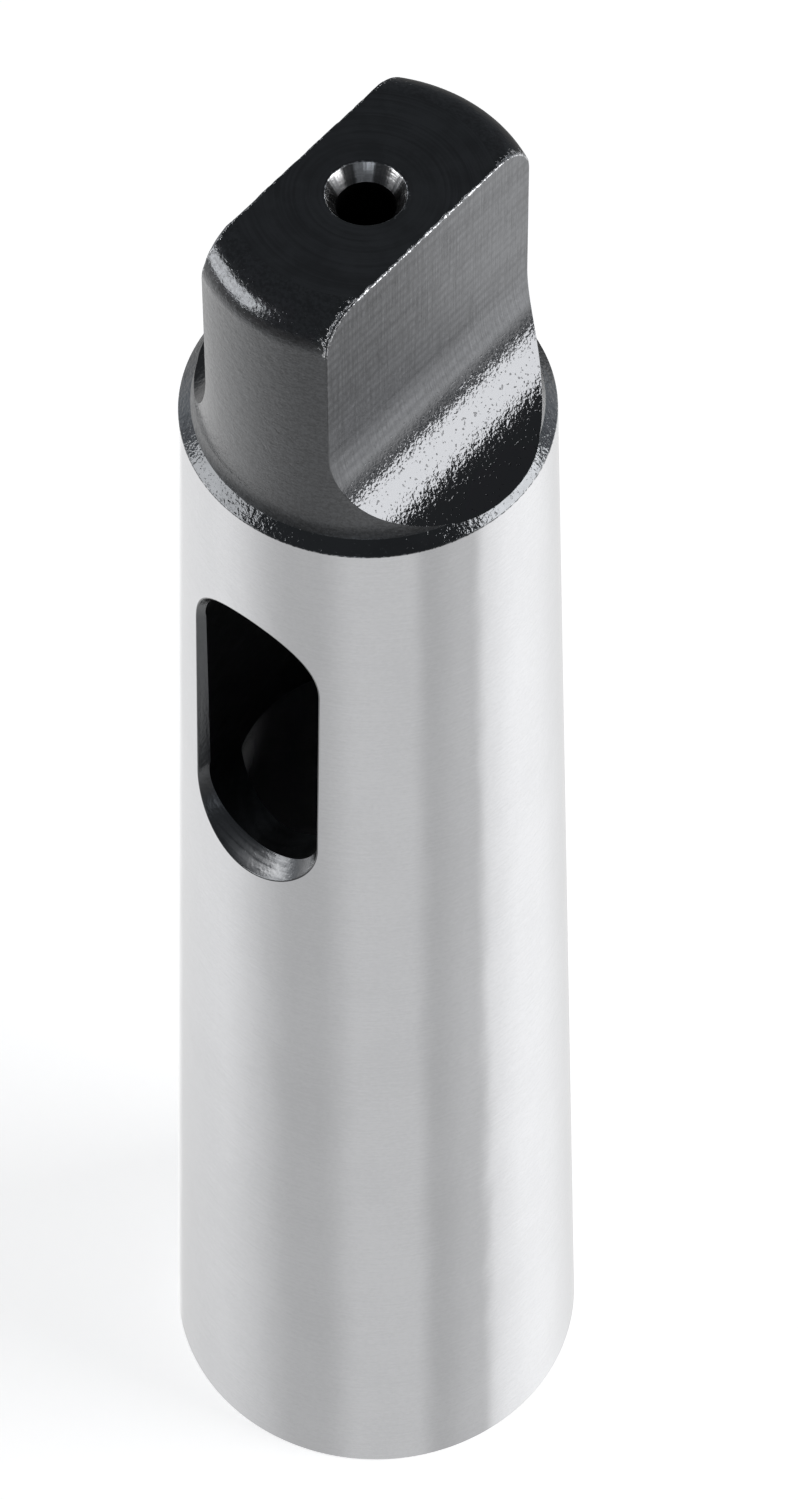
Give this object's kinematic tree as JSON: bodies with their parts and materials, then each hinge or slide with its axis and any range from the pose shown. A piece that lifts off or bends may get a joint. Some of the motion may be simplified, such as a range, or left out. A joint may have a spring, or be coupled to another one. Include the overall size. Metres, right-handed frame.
{
  "type": "morse taper sleeve",
  "caption": "Reducing sleeve for taper-shank tools: ground taper outside, taper socket inside, drift slot through the wall and a flat driving tang.",
  "frame": {"origin": "centre of the large end face, on the sleeve's axis", "axes": "+Z along the axis from the large end to the tang; Y along the drift slot and the wide way of the tang; X square to the tang's flats"},
  "size_m": [0.0324, 0.0324, 0.14],
  "materials": {
    "ground_steel": "satin ground taper, black oxide on the tang, bevel and slot"
  },
  "bodies": {
    "root": {"sleeve": "ground_steel"}
  },
  "joints": []
}
